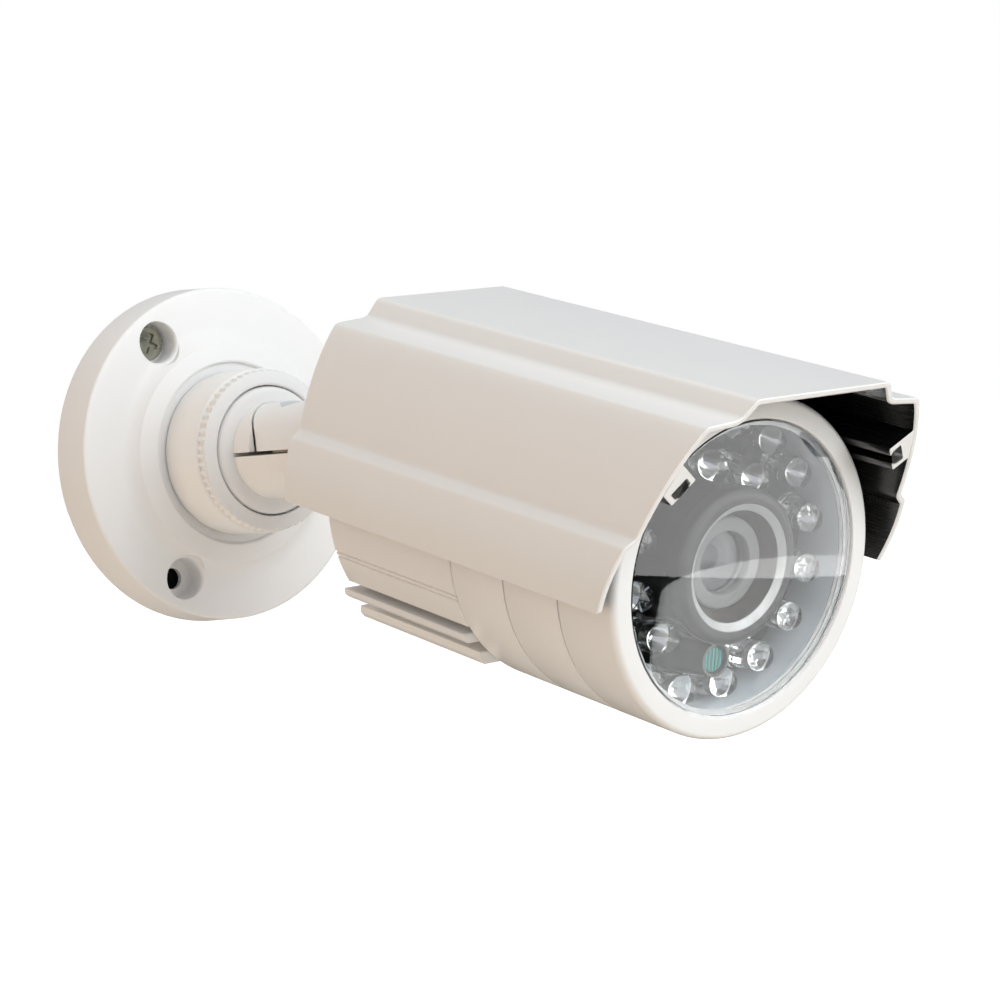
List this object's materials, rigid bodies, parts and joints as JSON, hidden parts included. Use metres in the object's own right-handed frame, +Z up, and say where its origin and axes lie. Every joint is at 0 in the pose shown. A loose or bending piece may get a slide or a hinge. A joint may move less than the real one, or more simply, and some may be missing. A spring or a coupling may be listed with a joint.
{
  "type": "wall-mounted security camera",
  "caption": "Round bullet security camera with an infrared lamp ring, a sliding sunshield and a jointed arm on a round wall base.",
  "frame": {"origin": "centre of the wall base's flat back face", "axes": "+Y out of the back face into the wall, -Y the way the camera looks, +Z up, +X to the right for someone facing the camera"},
  "size_m": [0.07, 0.1841, 0.09],
  "materials": {
    "white_paint": "satin",
    "black_plastic": "satin",
    "grey_plastic": "satin",
    "black_rubber": "matte",
    "window_glass": "polished",
    "lens_glass": "polished",
    "zinc_yellow": "satin",
    "bright_steel": "brushed",
    "board_green": "satin",
    "nylon": "matte",
    "sensor_teal": "gloss",
    "chip_black": "matte"
  },
  "bodies": {
    "base": {"wall_base": "white_paint", "wall_gasket": "black_rubber", "wall_screw": "zinc_yellow", "friction_washer": "nylon"},
    "collar": {"lock_collar": "white_paint"},
    "stem": {"swivel_stem": "white_paint", "pan_nut": "bright_steel"},
    "link": {"pan_link": "white_paint", "pan_washer": "nylon", "pan_bolt": "bright_steel", "tilt_bolt": "bright_steel", "tilt_nut": "bright_steel", "tilt_washer_left": "nylon", "tilt_washer_right": "nylon"},
    "knuckle": {"roll_knuckle": "white_paint"},
    "lock_nut": {"roll_lock_nut": "white_paint"},
    "housing": {"front_bezel": "white_paint", "window_glass": "window_glass", "window_gasket": "black_rubber", "bezel_o_ring": "black_rubber", "barrel_middle": "white_paint", "barrel_rear": "white_paint", "rear_body": "white_paint", "rear_gasket": "black_rubber", "rear_cap": "white_paint", "rear_cap_screw_1": "bright_steel", "rear_cap_screw_2": "bright_steel", "rear_cap_screw_3": "bright_steel", "rear_cap_screw_4": "bright_steel", "cable_gland": "black_plastic", "gland_seal": "black_rubber", "reflector_cup": "grey_plastic", "led_board": "board_green", "photocell_sleeve": "black_plastic", "photocell": "sensor_teal", "lens_hood": "black_rubber", "lens_holder": "black_plastic", "ir_filter": "window_glass", "image_sensor": "chip_black", "sensor_board": "board_green", "main_board": "board_green", "board_standoff_1": "bright_steel", "board_standoff_2": "bright_steel", "board_standoff_3": "bright_steel", "board_standoff_4": "bright_steel", "board_spacer_1": "bright_steel", "board_spacer_2": "bright_steel", "board_spacer_3": "bright_steel", "board_spacer_4": "bright_steel"},
    "lens": {"lens_barrel": "black_plastic", "lens_element": "lens_glass"},
    "shield": {"sunshield": "white_paint", "shield_lock_screw": "bright_steel"}
  },
  "joints": [
    {"name": "collar_turn", "type": "hinge", "parent": "base", "child": "collar", "pos_m": [0, -0.019, 0], "axis": [0, -1, 0], "range_deg": [0, 360]},
    {"name": "stem_swivel", "type": "hinge", "parent": "base", "child": "stem", "pos_m": [0, -0.0263, 0], "axis": [0, -1, 0], "range_deg": [-180, 180]},
    {"name": "pan", "type": "hinge", "parent": "stem", "child": "link", "pos_m": [0, -0.0376, 0], "axis": [0, 0, 1], "range_deg": [-45, 45]},
    {"name": "tilt", "type": "hinge", "parent": "link", "child": "knuckle", "pos_m": [0, -0.0568, 0], "axis": [1, 0, 0], "range_deg": [-54, 31]},
    {"name": "roll", "type": "hinge", "parent": "knuckle", "child": "housing", "pos_m": [0, -0.07844, -0.00539], "axis": [0, 0.9703, 0.2419], "range_deg": [-90, 90]},
    {"name": "lock_nut_turn", "type": "hinge", "parent": "knuckle", "child": "lock_nut", "pos_m": [0, -0.07359, -0.00419], "axis": [0, 0.9703, 0.2419], "range_deg": [0, 360]},
    {"name": "shield_slide", "type": "slide", "parent": "housing", "child": "shield", "axis": [0, -0.9703, -0.2419], "range_m": [-0.006, 0.012]},
    {"name": "focus_turn", "type": "hinge", "parent": "housing", "child": "lens", "pos_m": [0, -0.15121, -0.02354], "axis": [0, 0.9703, 0.2419], "range_deg": [-90, 90]}
  ]
}
